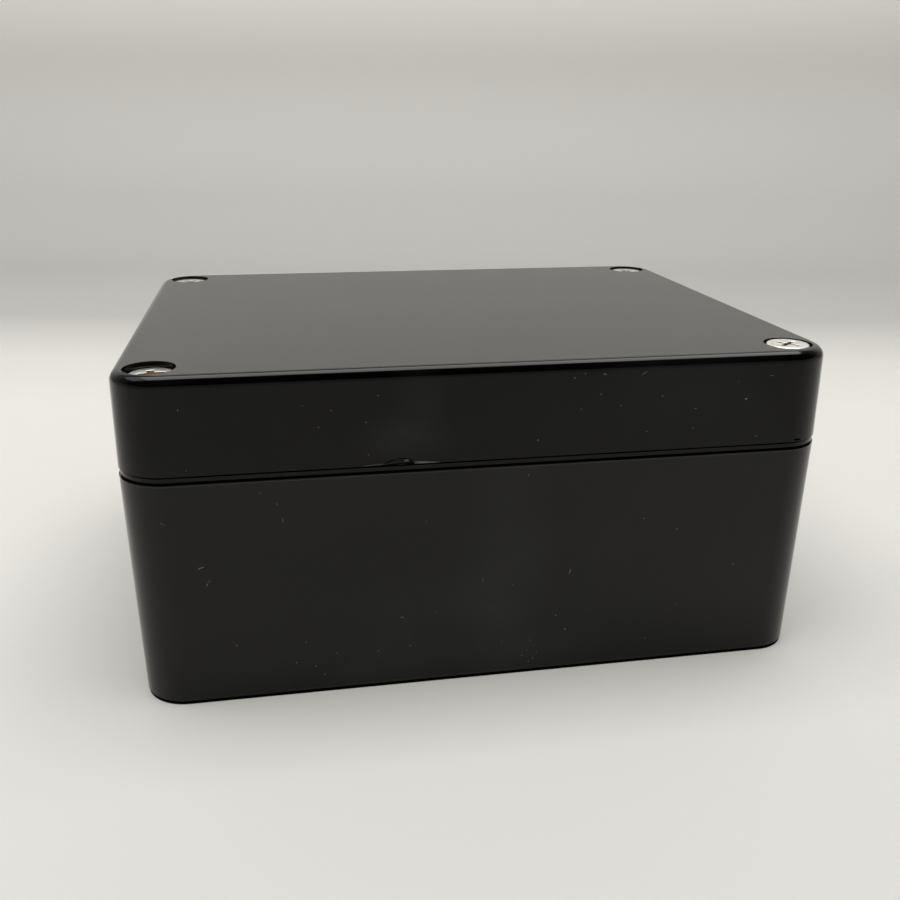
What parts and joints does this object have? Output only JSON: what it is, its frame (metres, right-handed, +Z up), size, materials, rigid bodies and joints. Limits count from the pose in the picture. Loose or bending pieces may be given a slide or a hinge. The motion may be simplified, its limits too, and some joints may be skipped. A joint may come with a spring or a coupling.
{
  "type": "junction box",
  "caption": "Shallow sealed plastic junction box with a screwed lid, gasket, corner wall-fixing holes and a terminal strip inside.",
  "frame": {"origin": "centre of the base's underside", "axes": "+Z up through the lid, +X along the long walls, the front wall faces -Y"},
  "size_m": [0.115, 0.09, 0.055],
  "materials": {
    "abs_black": "moulded black plastic with a fine satin grain, handling marks and dust",
    "seal_rubber": "black foamed rubber",
    "screw_steel": "stainless steel, worn and slightly stained in the recess",
    "zinc_steel": "bright zinc-plated steel",
    "brass": "plain turned brass",
    "nylon": "natural white nylon",
    "strip_polyamide": "off-white moulded polyamide"
  },
  "bodies": {
    "base": {"box_base": "abs_black", "insert_front_left": "brass", "insert_front_right": "brass", "insert_rear_left": "brass", "insert_rear_right": "brass", "terminal_strip": "strip_polyamide", "strip_screw_left": "zinc_steel", "strip_screw_right": "zinc_steel", "clamp_tube_1": "brass", "clamp_tube_2": "brass", "clamp_tube_3": "brass"},
    "lid": {"lid": "abs_black", "gasket": "seal_rubber"},
    "washer_front_left": {"retaining_washer_front_left": "nylon"},
    "screw_front_left": {"lid_screw_front_left": "screw_steel"},
    "washer_front_right": {"retaining_washer_front_right": "nylon"},
    "screw_front_right": {"lid_screw_front_right": "screw_steel"},
    "washer_rear_left": {"retaining_washer_rear_left": "nylon"},
    "screw_rear_left": {"lid_screw_rear_left": "screw_steel"},
    "washer_rear_right": {"retaining_washer_rear_right": "nylon"},
    "screw_rear_right": {"lid_screw_rear_right": "screw_steel"},
    "clamp_screw_1_front": {"clamp_screw_1_front": "zinc_steel"},
    "clamp_screw_1_rear": {"clamp_screw_1_rear": "zinc_steel"},
    "clamp_screw_2_front": {"clamp_screw_2_front": "zinc_steel"},
    "clamp_screw_2_rear": {"clamp_screw_2_rear": "zinc_steel"},
    "clamp_screw_3_front": {"clamp_screw_3_front": "zinc_steel"},
    "clamp_screw_3_rear": {"clamp_screw_3_rear": "zinc_steel"}
  },
  "joints": [
    {"name": "lid_lift", "type": "slide", "parent": "base", "child": "lid", "axis": [0, 0, 1], "range_m": [0, 0.06]},
    {"name": "screw_front_left_rise", "type": "slide", "parent": "lid", "child": "washer_front_left", "axis": [0, 0, 1], "range_m": [-0.0004, 0.0073]},
    {"name": "screw_front_left_turn", "type": "hinge", "parent": "washer_front_left", "child": "screw_front_left", "pos_m": [-0.0511, -0.0385, 0.0524], "axis": [0, 0, 1], "range_deg": [-205.73, 3754.3]},
    {"name": "screw_front_right_rise", "type": "slide", "parent": "lid", "child": "washer_front_right", "axis": [0, 0, 1], "range_m": [-0.00125, 0.00645]},
    {"name": "screw_front_right_turn", "type": "hinge", "parent": "washer_front_right", "child": "screw_front_right", "pos_m": [0.0511, -0.0385, 0.0524], "axis": [0, 0, 1], "range_deg": [-642.87, 3317.16]},
    {"name": "screw_rear_left_rise", "type": "slide", "parent": "lid", "child": "washer_rear_left", "axis": [0, 0, 1], "range_m": [-0.00075, 0.00695]},
    {"name": "screw_rear_left_turn", "type": "hinge", "parent": "washer_rear_left", "child": "screw_rear_left", "pos_m": [-0.0511, 0.0385, 0.0524], "axis": [0, 0, 1], "range_deg": [-385.73, 3574.3]},
    {"name": "screw_rear_right_rise", "type": "slide", "parent": "lid", "child": "washer_rear_right", "axis": [0, 0, 1], "range_m": [-0.00085, 0.00685]},
    {"name": "screw_rear_right_turn", "type": "hinge", "parent": "washer_rear_right", "child": "screw_rear_right", "pos_m": [0.0511, 0.0385, 0.0524], "axis": [0, 0, 1], "range_deg": [-437.16, 3522.87]},
    {"name": "clamp_screw_1_front_travel", "type": "slide", "parent": "base", "child": "clamp_screw_1_front", "axis": [0, 0, 1], "range_m": [-0.0034, 0.0003]},
    {"name": "clamp_screw_1_rear_travel", "type": "slide", "parent": "base", "child": "clamp_screw_1_rear", "axis": [0, 0, 1], "range_m": [-0.0034, 0.0003]},
    {"name": "clamp_screw_2_front_travel", "type": "slide", "parent": "base", "child": "clamp_screw_2_front", "axis": [0, 0, 1], "range_m": [-0.0034, 0.0003]},
    {"name": "clamp_screw_2_rear_travel", "type": "slide", "parent": "base", "child": "clamp_screw_2_rear", "axis": [0, 0, 1], "range_m": [-0.0034, 0.0003]},
    {"name": "clamp_screw_3_front_travel", "type": "slide", "parent": "base", "child": "clamp_screw_3_front", "axis": [0, 0, 1], "range_m": [-0.0034, 0.0003]},
    {"name": "clamp_screw_3_rear_travel", "type": "slide", "parent": "base", "child": "clamp_screw_3_rear", "axis": [0, 0, 1], "range_m": [-0.0034, 0.0003]}
  ],
  "couplings": [
    {"joint": "screw_front_left_turn", "follows": "screw_front_left_rise", "rad_per_m": 8976},
    {"joint": "screw_front_right_turn", "follows": "screw_front_right_rise", "rad_per_m": 8976},
    {"joint": "screw_rear_left_turn", "follows": "screw_rear_left_rise", "rad_per_m": 8976},
    {"joint": "screw_rear_right_turn", "follows": "screw_rear_right_rise", "rad_per_m": 8976}
  ]
}
